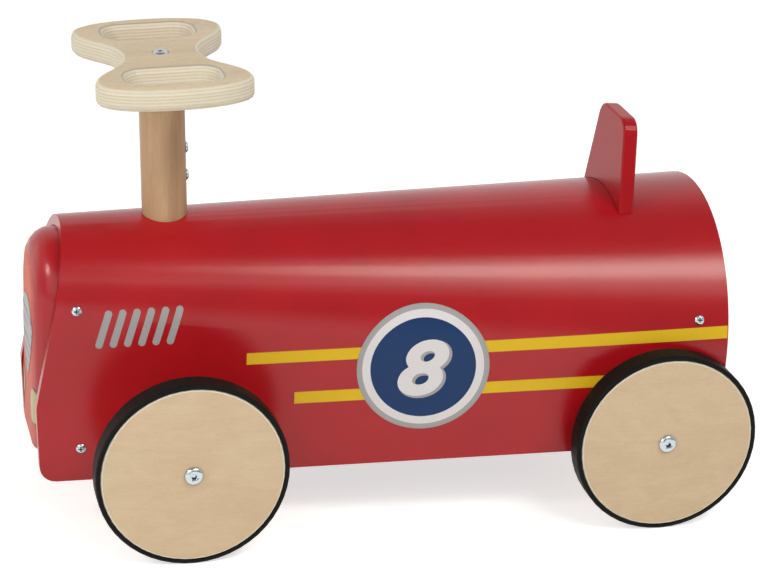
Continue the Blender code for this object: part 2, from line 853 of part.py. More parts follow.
def tyre_profile():
    """Rubber ring with rounded shoulders."""
    inner = DISC_RADIUS + GAP
    half = DISC_WIDTH / 2 + TYRE_OVERLAP
    shoulder = TYRE_DEPTH * 0.55
    upper = [(inner, half)]
    for step in range(3):
        angle = math.pi / 2 * (1 - step / 2)
        radius = TYRE_RADIUS - shoulder + shoulder * math.cos(angle)
        upper.append((radius, half - shoulder + shoulder * math.sin(angle)))
    return upper + [(radius, -height) for radius, height in reversed(upper)]


def disc_profile():
    bore = BUSH_RADIUS + GAP
    half = DISC_WIDTH / 2
    chamfer = 0.0008
    return [
        (bore, half),
        (DISC_RADIUS - chamfer, half),
        (DISC_RADIUS, half - chamfer),
        (DISC_RADIUS, chamfer - half),
        (DISC_RADIUS - chamfer, -half),
        (bore, -half),
    ]


def bush_profile():
    """Sleeve with a flange at the wheel's back."""
    bore = AXLE_RADIUS + GAP
    half = DISC_WIDTH / 2
    back = -half - GAP
    return [
        (bore, half - GAP),
        (BUSH_RADIUS, half - GAP),
        (BUSH_RADIUS, back),
        (FLANGE_RADIUS, back),
        (FLANGE_RADIUS, back - FLANGE_THICKNESS),
        (bore, back - FLANGE_THICKNESS),
    ]


def wheel(corner, side, parent, back, cap_mesh):
    """Disc, tyre and bush that spin, and the washer and cap screw that stay with the axle."""
    half = DISC_WIDTH / 2
    washer_top = -half - 2 * GAP - FLANGE_THICKNESS
    washer = ring_profile(AXLE_RADIUS + GAP, 0.007, washer_top - 0.0009, washer_top)
    made = [
        turned("wheel_disc_" + corner, disc_profile(), WHEEL_STEPS, disc_plywood(), parent, ring=True),
        turned("tyre_" + corner, tyre_profile(), WHEEL_STEPS, tyre_rubber(), parent, ring=True),
        turned("bush_" + corner, bush_profile(), CAP_STEPS, bush_nylon(), parent, ring=True),
        turned("washer_" + corner, washer, CAP_STEPS, axle_steel(), parent, ring=True),
    ]
    for obj in made:
        obj.location = (side * DISC_MIDDLE, back, 0.0)
        obj.rotation_euler = (0.0, side * math.pi / 2, 0.0)
    cap = piece("cap_screw_" + corner, cap_mesh, screw_steel(), parent)
    cap.location = (side * (WHEEL_FACE + GAP), back, 0.0)
    cap.rotation_euler = (0.0, side * math.pi / 2, 0.0)


def shade(collection):
    """Smooth shading on round pieces, sharp at their corners."""
    for obj in collection.objects:
        if obj.type == "MESH" and obj.data.polygons:
            obj.data.shade_smooth()
            obj.data.set_sharp_from_angle(angle=math.radians(35.0))


def build():
    chassis = empty("chassis_origin", None, (0.0, FRONT_AXLE_Y, TYRE_RADIUS))
    lean = (math.cos(STEER_LEAN), math.sin(STEER_LEAN))
    place = (0.0, STEER_OFFSET * lean[0], STEER_OFFSET * lean[1])
    pivot = empty("steering_pivot", chassis, place, STEER_LEAN)

    shell = body_shell(chassis)
    nose = nose_block(chassis)
    panel = rear_panel(chassis)
    block = rear_axle_block(chassis)
    board = backrest(chassis)
    body_screws(chassis, shell, nose, panel)
    back_screws(chassis, shell, board)

    lower = steering_board("steering_board_lower", board_height(0), chassis)
    upper = steering_board("steering_board_upper", board_height(1), chassis)
    post_bore(pivot, shell, (lower, upper))
    post = steering_post(pivot)
    plate = handle(pivot)
    handle_screw(pivot, plate, post)
    post_bolts(pivot, post)
    beam = front_axle_beam(pivot)
    beam_screw(pivot, beam, post)
    bearing_rings(pivot)

    axle("rear_axle", chassis, WHEELBASE)
    axle("front_axle", pivot, -STEER_OFFSET)
    axle_bore("rear_axle_bore", chassis, WHEELBASE, (shell, block))
    axle_bore("front_axle_bore", pivot, -STEER_OFFSET, (beam,))
    cap_mesh = cap_screw_mesh("cap_screw", CAP_RADIUS, CAP_HEIGHT, 0.0025, 0.022)
    wheel("front_left", 1, pivot, -STEER_OFFSET, cap_mesh)
    wheel("front_right", -1, pivot, -STEER_OFFSET, cap_mesh)
    wheel("rear_left", 1, chassis, WHEELBASE, cap_mesh)
    wheel("rear_right", -1, chassis, WHEELBASE, cap_mesh)
    shade(PARTS)


clear_scene()
PARTS = new_collection("ride_on_car")
CUTTERS = new_collection("cutters")
build()
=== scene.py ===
"""Looks of the wooden ride-on car: paint, plywood, rubber, steel and the printed trim, in a plain studio."""

import json
import math

import bmesh
import bpy
from mathutils import Euler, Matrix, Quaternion, Vector
from mathutils.bvhtree import BVHTree

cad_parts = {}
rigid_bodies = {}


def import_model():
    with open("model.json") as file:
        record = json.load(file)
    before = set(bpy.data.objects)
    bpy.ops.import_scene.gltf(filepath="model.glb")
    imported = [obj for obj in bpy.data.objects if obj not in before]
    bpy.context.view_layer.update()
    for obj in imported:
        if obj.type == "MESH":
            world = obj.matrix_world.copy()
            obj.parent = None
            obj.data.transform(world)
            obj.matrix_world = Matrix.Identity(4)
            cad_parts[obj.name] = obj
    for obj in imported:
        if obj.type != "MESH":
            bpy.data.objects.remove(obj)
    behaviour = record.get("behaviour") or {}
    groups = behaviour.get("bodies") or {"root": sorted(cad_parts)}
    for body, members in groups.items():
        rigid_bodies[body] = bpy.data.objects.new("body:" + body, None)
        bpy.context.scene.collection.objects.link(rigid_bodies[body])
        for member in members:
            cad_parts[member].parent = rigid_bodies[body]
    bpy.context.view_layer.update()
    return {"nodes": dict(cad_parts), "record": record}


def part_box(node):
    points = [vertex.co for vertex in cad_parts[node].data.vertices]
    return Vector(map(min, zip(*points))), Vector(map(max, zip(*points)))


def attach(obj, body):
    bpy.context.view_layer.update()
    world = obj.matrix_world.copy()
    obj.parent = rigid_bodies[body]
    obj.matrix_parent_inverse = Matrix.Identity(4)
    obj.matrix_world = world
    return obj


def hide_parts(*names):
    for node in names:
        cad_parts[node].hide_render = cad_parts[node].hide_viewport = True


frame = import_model()

# Camera, at the photograph's viewing angle
CAMERA_PLACE = (1.84597, -0.48194, 0.90637)
CAMERA_AZIMUTH = 75.15
CAMERA_ELEVATION = 21.32
CAMERA_ROLL = 2.56
CAMERA_LENS = 119.6

# Where the car's own pieces lie in the frame, in metres
FRONT_AXLE = Vector((0.0, -0.17055, 0.0739))
REAR_AXLE_Y = 0.20445
DISC_FACE = 0.0687
POST_LEAN = math.radians(2.0)
SIDES = ((1, "left"), (-1, "right"))

# The shell's rear edge behind the front axle, and how it leans with height
REAR_EDGE = 0.4235
REAR_EDGE_FOOT = -0.035
REAR_EDGE_LEAN = 0.0384

# Stripes: name, start behind the front axle, top and bottom above it; they climb towards the rear
STRIPES = (("upper", 0.051, 0.0678, 0.0583), ("lower", 0.0882, 0.0332, 0.0236))
STRIPE_RISE = 0.0448
STRIPE_SHY = 0.0012

# Vent slashes behind the front axle and above it
VENTS = 6
VENT_STEP = (0.0107, 0.0006)
VENT_TOP = (-0.0528, 0.1061)
VENT_FOOT = (-0.0613, 0.0754)
VENT_WIDTH = 0.0055

# Number badge: its middle behind the front axle and above it, its radius, and the widths of its rings
BADGE_MIDDLE = (0.187, 0.0565)
BADGE_RADIUS = 0.0515
BADGE_RIM = 0.0042
BADGE_RING = 0.0063

# The badge's number and the shade under it: size, weight, and height over the paint
NUMBER_SIZE = 0.062
NUMBER_STRETCH = 1.12
NUMBER_SLANT = 0.22
NUMBER_WEIGHT = 0.0019
SHADE_WEIGHT = 0.0026
SHADE_SHIFT = (0.0016, -0.0012)
BADGE_LIFT = 0.0004
SHADE_LIFT = 0.00055
NUMBER_LIFT = 0.0007

# Grille on the nose, heights above the axle
GRILLE_HALF = 0.030
GRILLE_TOP = 0.0985
GRILLE_WIDEST = 0.077
GRILLE_FOOT = 0.031
GRILLE_BORDER = 0.0010
GRILLE_LIFT = 0.0003
SLATS = 5
SLAT_FOOT = 0.042
SLAT_STEP = 0.0105
SLAT_SHY = 0.0015
SLAT_THICKNESS = 0.0010
SLAT_LIFT = 0.00045

# Headlamps: middle beside the car's middle and above the axle, and half their width and height
HEADLAMP_MIDDLE = (0.031, 0.0178)
HEADLAMP_REACH = (0.012, 0.015)
HEADLAMP_RIM = 0.0012
HEADLAMP_LIFTS = (0.0002, 0.00035)

# The print's height over the paint and its thickness
PRINT_LIFT = 0.00015
PRINT_THICKNESS = 0.00012

# How far from the car's middle a flat shape is drawn, and how much further out its rays start
AWAY = 0.2
REACH_OF_RAY = 0.5

# The frame's axes, and the widths of the strips in which a flat shape follows a curve
ACROSS, ALONG, UP = 0, 1, 2
HEADLAMP_STRIP = 0.002
NARROW_STRIP = 0.003
STRIP = 0.004
WIDE_STRIP = 0.012
BADGE_STRIP = 0.020

# The handle's plate, and its slots: their middles' distance from the post, and their rims' reach each way
PLATE_THICKNESS = 0.017
PLATE_PLIES = 14.0
VENEER = 0.0005
SLOT_MIDDLE = 0.0602
SLOT_REACH_ACROSS = 0.0250
SLOT_REACH_ALONG = 0.0390
SLOT_RIM = (0.00025, 0.0009)

# A screw's recess, painted dark as shade: from just under the face of the head, down
RECESS_TOP = 0.00035
RECESS_FLOOR = 0.0026
CROSS_RECESS = 0.0022
HEX_RECESS = 0.0025

# Easing of sharp edges, and the shortest edge that gets it
SHELL_EASING = 0.0011
SHELL_SHORTEST = 0.0015
BEAM_EASING = 0.0012
BEAM_SHORTEST = 0.004
CORNER = math.radians(40.0)
FLAT = math.radians(0.2)

# How near two points of a mesh are the same point, and the angle from which an edge stays sharp
SAME_POINT = 0.00001
SHARP_FORM = math.radians(38.0)
SHARP_DETAIL = math.radians(30.0)

# Colours, linear
RED = (0.400, 0.0055, 0.0105)
# The nose's flat face: brighter orange than the body's red, painted glancing light of a front lamp
NOSE_FACE_PAINTED_SHEEN = (0.580, 0.048, 0.012)
YELLOW = (0.735, 0.475, 0.0160)
GREY = (0.365, 0.358, 0.370)
DARK_GREY = (0.20, 0.19, 0.19)
NAVY = (0.006, 0.034, 0.125)
PRINT_WHITE = (0.735, 0.712, 0.735)
LAMP_CREAM = (0.520, 0.440, 0.250)
CUT_EDGE = (0.86, 0.81, 0.70)
# Grey of the line drawn round the handle's slots, at about the depth of the face veneer
SLOT_RIM_GREY = (0.30, 0.275, 0.255)
WHITE = (1.0, 1.0, 1.0)

# Roughness of the paint: the body, the seat back and the nose's flat face
GLOSS = 0.23
FIN_GLOSS = 0.30
NOSE_FACE_GLOSS = 0.38

# How strongly each surface mirrors the room
SHINE = 0.4
FIN_SHINE = 0.20
NOSE_FACE_SHINE = 0.07
PRINT_SHINE = 0.25
RUBBER_SHINE = 0.08

# Soft boxes: name, target, azimuth, elevation, distance, width, height and power
CAR_MIDDLE = (0.0, 0.0, 0.15)
SOFT_BOXES = (
    ("side_box", CAR_MIDDLE, 120.0, 50.0, 2.6, 1.5, 0.56, 29.0),
    ("low_box", CAR_MIDDLE, 104.0, 36.0, 2.6, 1.6, 0.40, 4.0),
    ("front_box", CAR_MIDDLE, 21.0, 36.0, 2.3, 0.42, 0.42, 9.0),
    ("fill_box", (0.0, -0.18, 0.1), 52.0, 26.0, 1.5, 1.4, 1.1, 6.2),
    ("nose_box", (0.0, -0.28, 0.1), -32.0, 14.0, 1.2, 0.8, 0.8, 1.6),
)
LAMP_WARMTH = (1.0, 0.98, 0.90)

# Light of the room: what the pieces get from its dark side and its bright side
ROOM_DARK = 0.22
ROOM_BRIGHT = 0.60
FLOOR_GREY = 0.82
FLOOR_GLOW = 0.62
FLOOR_SIZE = 12.0


def add(tree, kind, sockets=None, **settings):
    """A shader node, with its settings and what goes into its sockets."""
    made = tree.nodes.new("ShaderNode" + kind)
    for key, value in settings.items():
        setattr(made, key, value)
    for key, value in (sockets or {}).items():
        if isinstance(value, bpy.types.NodeSocket):
            tree.links.new(value, made.inputs[key])
        else:
            made.inputs[key].default_value = value
    return made


def worked(tree, operation, *values):
    """The result of one sum on shader values."""
    return add(tree, "Math", dict(enumerate(values)), operation=operation).outputs[0]


def between(tree, value, low, high):
    """1 where a value lies between two limits, else 0."""
    over = worked(tree, "GREATER_THAN", value, low)
    under = worked(tree, "LESS_THAN", value, high)
    return worked(tree, "MULTIPLY", over, under)


def around(tree, value, middle, reach):
    """1 where a value lies within reach of a middle, else 0."""
    off = worked(tree, "ABSOLUTE", worked(tree, "SUBTRACT", value, middle))
    return worked(tree, "LESS_THAN", off, reach)


def span(tree, value, low, high, start=0.0, end=1.0):
    """A value moved from one range to another."""
    sockets = {"Value": value, "From Min": start, "From Max": end, "To Min": low, "To Max": high}
    return add(tree, "MapRange", sockets).outputs["Result"]


def placed(tree, turn=(0.0, 0.0, 0.0), scale=(1.0, 1.0, 1.0)):
    """Object coordinates, turned and stretched."""
    where = add(tree, "TexCoord").outputs["Object"]
    return add(tree, "Mapping", {"Vector": where, "Rotation": turn, "Scale": scale}).outputs["Vector"]


def noise(tree, where, scale, detail=2.0, roughness=0.5, distortion=0.0):
    """An uneven value between 0 and 1; the scale is in waves a metre."""
    sockets = {"Vector": where, "Scale": scale, "Detail": detail, "Roughness": roughness}
    return add(tree, "TexNoise", {**sockets, "Distortion": distortion}).outputs["Fac"]


def ramp(tree, value, *stops):
    """Colours along a value; each stop is (place, colour)."""
    made = add(tree, "ValToRGB", {"Fac": value})
    line = made.color_ramp
    while len(line.elements) < len(stops):
        line.elements.new(1.0)
    for element, (place, colour) in zip(line.elements, stops):
        element.position = place
        element.color = (*colour, 1.0)
    return made.outputs["Color"]


def blend_colours(tree, factor, first, second, kind="MIX"):
    made = add(tree, "Mix", data_type="RGBA", blend_type=kind)
    for index, value in ((0, factor), (6, first), (7, second)):
        if isinstance(value, bpy.types.NodeSocket):
            tree.links.new(value, made.inputs[index])
        elif index == 0:
            made.inputs[index].default_value = value
        else:
            made.inputs[index].default_value = (*value, 1.0)
    return made.outputs[2]


def shaded(colour, factor):
    return tuple(channel * factor for channel in colour)


def mottled(tree, value, colour, darkest, lightest):
    """A colour that gets darker and lighter with a noise."""
    return ramp(tree, value, (0.3, shaded(colour, darkest)), (0.7, shaded(colour, lightest)))


def bump(tree, shader, height, distance):
    made = add(tree, "Bump", {"Height": height, "Distance": distance, "Strength": 1.0})
    tree.links.new(made.outputs["Normal"], shader.inputs["Normal"])


def new_material(name, roughness, metallic=0.0, shine=SHINE):
    made = bpy.data.materials.new(name)
    made.use_nodes = True
    shader = made.node_tree.nodes["Principled BSDF"]
    shader.inputs["Specular IOR Level"].default_value = shine
    shader.inputs["Roughness"].default_value = roughness
    shader.inputs["Metallic"].default_value = metallic
    return made, made.node_tree, shader


def painted(name, colour, roughness, shine=SHINE, bloom=0.0):
    """Satin paint on plywood: faint cloudiness, the fine unevenness of a sprayed coat, and a warm bloom."""
    made, tree, shader = new_material(name, roughness, shine=shine)
    shader.inputs["Sheen Weight"].default_value = bloom
    shader.inputs["Sheen Roughness"].default_value = 0.15
    shader.inputs["Sheen Tint"].default_value = (1.0, 0.55, 0.30, 1.0)
    where = placed(tree)
    cloud = noise(tree, where, scale=22.0, detail=3.0)
    tree.links.new(mottled(tree, cloud, colour, 0.94, 1.05), shader.inputs["Base Color"])
    fine = noise(tree, where, scale=520.0, detail=2.0, roughness=0.6)
    tree.links.new(span(tree, fine, roughness - 0.05, roughness + 0.05), shader.inputs["Roughness"])
    bump(tree, shader, fine, 0.00006)
    return made


def nose_paint():
    """The body's paint; on the flat face a brighter orange, painted glancing light of a front lamp, and more
    matt.
    """
    made = painted("nose_red", RED, GLOSS, bloom=0.3)
    tree = made.node_tree
    shader = tree.nodes["Principled BSDF"]
    plain_hue = shader.inputs["Base Color"].links[0].from_socket
    way = add(tree, "SeparateXYZ", {"Vector": placed(tree)}).outputs
    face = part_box("nose_block")[0].y
    # On the flat face the colour turns to the brighter orange: painted glancing light
    near = span(tree, way["Y"], 1.0, 0.0, face + 0.0001, face + 0.0016)
    tree.links.new(blend_colours(tree, near, plain_hue, NOSE_FACE_PAINTED_SHEEN), shader.inputs["Base Color"])
    tree.links.new(span(tree, near, SHINE, NOSE_FACE_SHINE), shader.inputs["Specular IOR Level"])
    tree.links.new(span(tree, near, GLOSS, NOSE_FACE_GLOSS), shader.inputs["Roughness"])
    return made


def printed(name, colour, roughness=0.42):
    """Flat print ink: a little uneven in density."""
    made, tree, shader = new_material(name, roughness, shine=PRINT_SHINE)
    grain = noise(tree, placed(tree), scale=900.0, detail=2.0)
    tree.links.new(mottled(tree, grain, colour, 0.96, 1.03), shader.inputs["Base Color"])
    bump(tree, shader, grain, 0.00002)
    return made


def timber(name, pale, dark, roughness, stretch, turn=(0.0, 0.0, 0.0), figure=14.0):
    """Lacquered wood whose grain runs along the axis with the smallest stretch."""
    made, tree, shader = new_material(name, roughness)
    where = placed(tree, turn, stretch)
    broad = noise(tree, where, scale=figure, detail=3.0, roughness=0.55, distortion=0.6)
    fibre = noise(tree, where, scale=figure * 14.0, detail=4.0, roughness=0.65, distortion=0.2)
    hue = ramp(tree, broad, (0.32, dark), (0.62, pale))
    thread = ramp(tree, fibre, (0.30, shaded(WHITE, 0.86)), (0.62, WHITE))
    tree.links.new(blend_colours(tree, 1.0, hue, thread, "MULTIPLY"), shader.inputs["Base Color"])
    tree.links.new(span(tree, fibre, roughness - 0.06, roughness + 0.06), shader.inputs["Roughness"])
    bump(tree, shader, fibre, 0.00008)
    return made


def ply_edge(tree, depth):
    """The colour of the plate's cut edge, which changes from ply to ply."""
    wave = noise(tree, placed(tree), scale=26.0, detail=2.0)
    bent = worked(tree, "ADD", span(tree, wave, -0.0003, 0.0003), depth)
    count = worked(tree, "MULTIPLY", bent, PLATE_PLIES / PLATE_THICKNESS)
    fold = worked(tree, "PINGPONG", count, 1.0)
    grain = noise(tree, placed(tree, scale=(0.25, 0.25, 1.0)), scale=900.0, detail=3.0, roughness=0.6)
    tone = worked(tree, "ADD", fold, span(tree, grain, -0.32, 0.32))
    line, slope, ply = (0.60, 0.515, 0.385), (0.68, 0.605, 0.475), (0.73, 0.668, 0.545)
    return ramp(tree, tone, (0.06, line), (0.30, slope), (0.75, ply))


def handle_wood():
    """Birch plywood plate: tan face veneers, cream plies on the rounded edge, a grey line round each slot."""
    made, tree, shader = new_material("handle_wood", 0.5)
    turn = (-POST_LEAN, 0.0, 0.0)
    level = add(tree, "SeparateXYZ", {"Vector": placed(tree, turn)}).outputs
    low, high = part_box("handle")
    middle = Euler(turn).to_matrix() @ ((low + high) / 2)
    depth = worked(tree, "SUBTRACT", middle.z + PLATE_THICKNESS / 2, level["Z"])
    drawn_out = placed(tree, scale=(1.0, 0.16, 1.0))
    figure = noise(tree, drawn_out, scale=38.0, detail=3.0, roughness=0.55, distortion=0.8)
    fleck = noise(tree, placed(tree, scale=(1.0, 0.3, 1.0)), scale=650.0, detail=2.0, roughness=0.6)
    face = ramp(tree, figure, (0.3, (0.60, 0.475, 0.315)), (0.7, (0.70, 0.565, 0.395)))
    spots = ramp(tree, fleck, (0.28, (0.88, 0.86, 0.84)), (0.55, WHITE))
    face = blend_colours(tree, 1.0, face, spots, "MULTIPLY")
    core = between(tree, depth, VENEER, PLATE_THICKNESS - VENEER)
    whole = blend_colours(tree, core, face, ply_edge(tree, depth))
    # A grey line is drawn round each slot's rim, a little under the face veneer
    across = around(tree, worked(tree, "ABSOLUTE", level["X"]), SLOT_MIDDLE, SLOT_REACH_ACROSS)
    along = around(tree, level["Y"], middle.y, SLOT_REACH_ALONG)
    rim = worked(tree, "MULTIPLY", across, along)
    rim = worked(tree, "MULTIPLY", rim, between(tree, depth, *SLOT_RIM))
    rim_grey = worked(tree, "MULTIPLY", rim, 0.65)
    tree.links.new(blend_colours(tree, rim_grey, whole, SLOT_RIM_GREY), shader.inputs["Base Color"])
    bump(tree, shader, fleck, 0.00006)
    return made


def disc_wood():
    """Birch veneer on the wheel discs: fine wavy grain that climbs a little, and a pale cut edge."""
    made, tree, shader = new_material("disc_wood", 0.5)
    tilt = (math.radians(-24.0), 0.0, 0.0)
    wide = placed(tree, tilt, (1.0, 0.45, 1.0))
    figure = noise(tree, wide, scale=34.0, detail=2.0, roughness=0.5, distortion=2.2)
    drawn_out = placed(tree, tilt, (1.0, 0.22, 1.0))
    thread = noise(tree, drawn_out, scale=300.0, detail=3.0, roughness=0.6, distortion=1.4)
    fleck = noise(tree, placed(tree, tilt, (1.0, 0.35, 1.0)), scale=1000.0, detail=2.0, roughness=0.6)
    hue = ramp(tree, figure, (0.35, (0.655, 0.492, 0.325)), (0.65, (0.695, 0.532, 0.362)))
    lines = ramp(tree, thread, (0.34, (0.955, 0.945, 0.925)), (0.60, WHITE))
    spots = ramp(tree, fleck, (0.28, (0.95, 0.94, 0.93)), (0.50, WHITE))
    grain = blend_colours(tree, 1.0, lines, spots, "MULTIPLY")
    face = blend_colours(tree, 1.0, hue, grain, "MULTIPLY")
    flat = placed(tree, scale=(0.0, 1.0, 1.0))
    from_axle = []
    for axle in (FRONT_AXLE.y, REAR_AXLE_Y):
        sockets = {0: flat, 1: (0.0, axle, FRONT_AXLE.z)}
        from_axle.append(add(tree, "VectorMath", sockets, operation="DISTANCE").outputs["Value"])
    cut = worked(tree, "GREATER_THAN", worked(tree, "MINIMUM", *from_axle), DISC_FACE)
    tree.links.new(blend_colours(tree, cut, face, CUT_EDGE), shader.inputs["Base Color"])
    tree.links.new(span(tree, fleck, 0.44, 0.56), shader.inputs["Roughness"])
    bump(tree, shader, fleck, 0.00005)
    return made


def rubber():
    made, tree, shader = new_material("tyre_black", 0.5, shine=RUBBER_SHINE)
    fine = noise(tree, placed(tree), scale=1100.0, detail=2.0)
    hue = ramp(tree, fine, (0.3, (0.006, 0.0055, 0.005)), (0.7, (0.011, 0.010, 0.0095)))
    tree.links.new(hue, shader.inputs["Base Color"])
    tree.links.new(span(tree, fine, 0.42, 0.56), shader.inputs["Roughness"])
    bump(tree, shader, fine, 0.00005)
    return made


def metal(name, colour, roughness):
    """Plated or drawn steel with a soft unevenness."""
    made, tree, shader = new_material(name, roughness, 1.0)
    shader.inputs["Base Color"].default_value = (*colour, 1.0)
    fine = noise(tree, placed(tree), scale=1500.0, detail=2.0)
    tree.links.new(span(tree, fine, roughness - 0.05, roughness + 0.07), shader.inputs["Roughness"])
    return made


def nylon():
    made, tree, shader = new_material("white_nylon", 0.45)
    fine = noise(tree, placed(tree), scale=400.0)
    hue = ramp(tree, fine, (0.3, (0.66, 0.66, 0.63)), (0.7, (0.74, 0.74, 0.71)))
    tree.links.new(hue, shader.inputs["Base Color"])
    return made


def post_wood():
    """Beech, with its grain along the leaning post."""
    pale, dark = (0.55, 0.355, 0.208), (0.41, 0.250, 0.140)
    return timber("post_beech", pale, dark, 0.5, (1.0, 1.0, 0.05), (-POST_LEAN, 0.0, 0.0), 95.0)


def inner_wood():
    """Pine of the blocks and boards, with its grain across the car."""
    pale, dark = (0.60, 0.44, 0.26), (0.50, 0.34, 0.18)
    return timber("inner_pine", pale, dark, 0.6, (0.08, 1.0, 1.0), figure=60.0)


NOSE_PAINT = nose_paint()
# The seat back: the body's red painted darker, as shade, with its own gloss and shine
FIN_SHADED_PAINT = painted("fin_red", shaded(RED, 0.94), FIN_GLOSS, FIN_SHINE)
BRIGHT_STEEL = metal("bright_steel", (0.50, 0.555, 0.60), 0.20)
# Dark steel laid in the screws' recesses: painted shade
RECESS_PAINTED_SHADE = metal("recess_steel", (0.055, 0.06, 0.065), 0.45)
YELLOW_INK = printed("yellow_ink", YELLOW)
GREY_INK = printed("grey_ink", GREY)
DARK_GREY_INK = printed("dark_grey_ink", DARK_GREY)
NAVY_INK = printed("navy_ink", NAVY, 0.38)
WHITE_INK = printed("white_ink", PRINT_WHITE)
LAMP_INK = printed("lamp_ink", LAMP_CREAM)

FINISHES = {
    "red_paint": painted("body_red", RED, GLOSS),
    "nose_paint": NOSE_PAINT,
    "disc_plywood": disc_wood(),
    "handle_plywood": handle_wood(),
    "post_wood": post_wood(),
    "inner_wood": inner_wood(),
    "tyre_rubber": rubber(),
    "bush_nylon": nylon(),
    "screw_steel": BRIGHT_STEEL,
    "axle_steel": metal("axle_steel", (0.55, 0.56, 0.57), 0.32),
}


def finish_nodes():
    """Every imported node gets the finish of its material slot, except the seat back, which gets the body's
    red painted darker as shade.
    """
    for row in frame["record"]["subparts"]:
        piece = frame["nodes"][row["node"]]
        piece.data.materials.clear()
        finish = FIN_SHADED_PAINT if row["node"] == "backrest" else FINISHES[row["material_slot"]]
        piece.data.materials.append(finish)


def body_of(node):
    """The name of the body that a node rides on."""
    return frame["nodes"][node].parent.name.split(":")[1]


def shape_of(node):
    """A node's own mesh, closed up, to work on."""
    bm = bmesh.new()
    bm.from_mesh(frame["nodes"][node].data)
    bmesh.ops.remove_doubles(bm, verts=bm.verts, dist=SAME_POINT)
    return bm


def piece_from(name, bm, paint, body, sharp):
    """A piece of the scene, made from a worked mesh."""
    bmesh.ops.recalc_face_normals(bm, faces=bm.faces)
    mesh = bpy.data.meshes.new(name)
    bm.to_mesh(mesh)
    bm.free()
    mesh.materials.append(paint)
    mesh.shade_smooth()
    mesh.set_sharp_from_angle(angle=sharp)
    made = bpy.data.objects.new(name, mesh)
    bpy.context.scene.collection.objects.link(made)
    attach(made, body)
    return made


def shade_evenly(made):
    """Large faces keep their own normals, so that roundings beside them are shaded without streaks."""
    even = made.modifiers.new("even_shading", "WEIGHTED_NORMAL")
    even.mode = "FACE_AREA"
    even.keep_sharp = True


def eased(node, width, shortest):
    """The node's own shape with its long sharp edges eased; it stands for the node."""
    bm = shape_of(node)
    bmesh.ops.dissolve_limit(bm, angle_limit=FLAT, verts=bm.verts, edges=bm.edges)
    corners = []
    for edge in bm.edges:
        if len(edge.link_faces) == 2 and edge.calc_face_angle() > CORNER:
            if edge.calc_length() > shortest:
                corners.append(edge)
    rounding = {"segments": 3, "profile": 0.5, "affect": "EDGES", "material": -1, "clamp_overlap": True}
    bmesh.ops.bevel(bm, geom=corners, offset=width, **rounding)
    bmesh.ops.remove_doubles(bm, verts=bm.verts, dist=3 * SAME_POINT)
    paint = frame["nodes"][node].data.materials[0]
    made = piece_from(node + "_eased", bm, paint, body_of(node), SHARP_FORM)
    shade_evenly(made)
    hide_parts(node)


def smooth_nose():
    """The nose block's own shape, with its large rounding shaded evenly."""
    made = piece_from("nose_block_smooth", shape_of("nose_block"), NOSE_PAINT, "chassis", SHARP_FORM)
    shade_evenly(made)
    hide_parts("nose_block")


def smooth_screw(node, hollow):
    """A screw's own shape with even shading, and painted shade in its recess: faces within the given radius
    take dark steel.
    """
    bm = shape_of(node)
    middle = sum((vert.co for vert in bm.verts), Vector()) / len(bm.verts)
    tip = max((vert.co for vert in bm.verts), key=lambda place: (place - middle).length).copy()
    way = (middle - tip).normalized()
    top = max((vert.co - tip).dot(way) for vert in bm.verts)
    for face in bm.faces:
        centre = face.calc_center_median() - tip
        height = centre.dot(way)
        off = (centre - way * height).length
        # Faces in the recess take the dark steel: painted shade
        face.material_index = 1 if off < hollow and RECESS_TOP < top - height < RECESS_FLOOR else 0
    made = piece_from(node + "_smooth", bm, BRIGHT_STEEL, body_of(node), SHARP_DETAIL)
    made.data.materials.append(RECESS_PAINTED_SHADE)
    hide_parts(node)


def smooth_screws():
    for _, side in SIDES:
        for place in ("front_upper", "front_lower", "rear_upper", "rear_lower"):
            smooth_screw("screw_%s_%s" % (place, side), CROSS_RECESS)
        for place in ("front", "rear"):
            smooth_screw("cap_screw_%s_%s" % (place, side), HEX_RECESS)
    smooth_screw("handle_screw", CROSS_RECESS)
    smooth_screw("post_bolt_upper", 0.0)
    smooth_screw("post_bolt_lower", 0.0)


def surface_of(node):
    """A search tree of a node's surface, to lay print on."""
    bm = shape_of(node)
    found = BVHTree.FromBMesh(bm)
    bm.free()
    return found


def sliced(bm, axis, step):
    """Cuts a flat shape into strips, so that it can follow a curved surface."""
    values = [vert.co[axis] for vert in bm.verts]
    count = int((max(values) - min(values)) / step)
    normal = Vector([1.0 if index == axis else 0.0 for index in range(3)])
    for index in range(1, count + 1):
        place = normal * (min(values) + step * index)
        geom = list(bm.verts) + list(bm.edges) + list(bm.faces)
        bmesh.ops.bisect_plane(bm, geom=geom, plane_co=place, plane_no=normal, dist=SAME_POINT)


def laid(name, bm, surface, way, paint, lift=PRINT_LIFT):
    """Lays a flat shape on a surface along a direction, as a thin closed layer of ink."""
    way = Vector(way)
    lost = []
    for vert in bm.verts:
        hit, normal, _, _ = surface.ray_cast(vert.co - way * REACH_OF_RAY, way)
        if hit is None:
            lost.append(vert)
            continue
        vert.co = hit + normal * lift
    bmesh.ops.delete(bm, geom=lost, context="VERTS")
    bm.normal_update()
    for face in bm.faces:
        if face.normal.dot(way) > 0.0:
            face.normal_flip()
    bm.normal_update()
    back = bmesh.ops.extrude_face_region(bm, geom=list(bm.faces), use_keep_orig=True)["geom"]
    sunk = [item for item in back if isinstance(item, bmesh.types.BMVert)]
    bmesh.ops.translate(bm, verts=sunk, vec=way * PRINT_THICKNESS)
    piece_from(name, bm, paint, "chassis", SHARP_DETAIL)


def side_point(distance, height, side):
    """A point beside the body, at a distance behind the front axle and a height above it."""
    return Vector((side * AWAY, FRONT_AXLE.y + distance, FRONT_AXLE.z + height))


def square(bm):
    bmesh.ops.create_grid(bm, x_segments=1, y_segments=1, size=0.5)


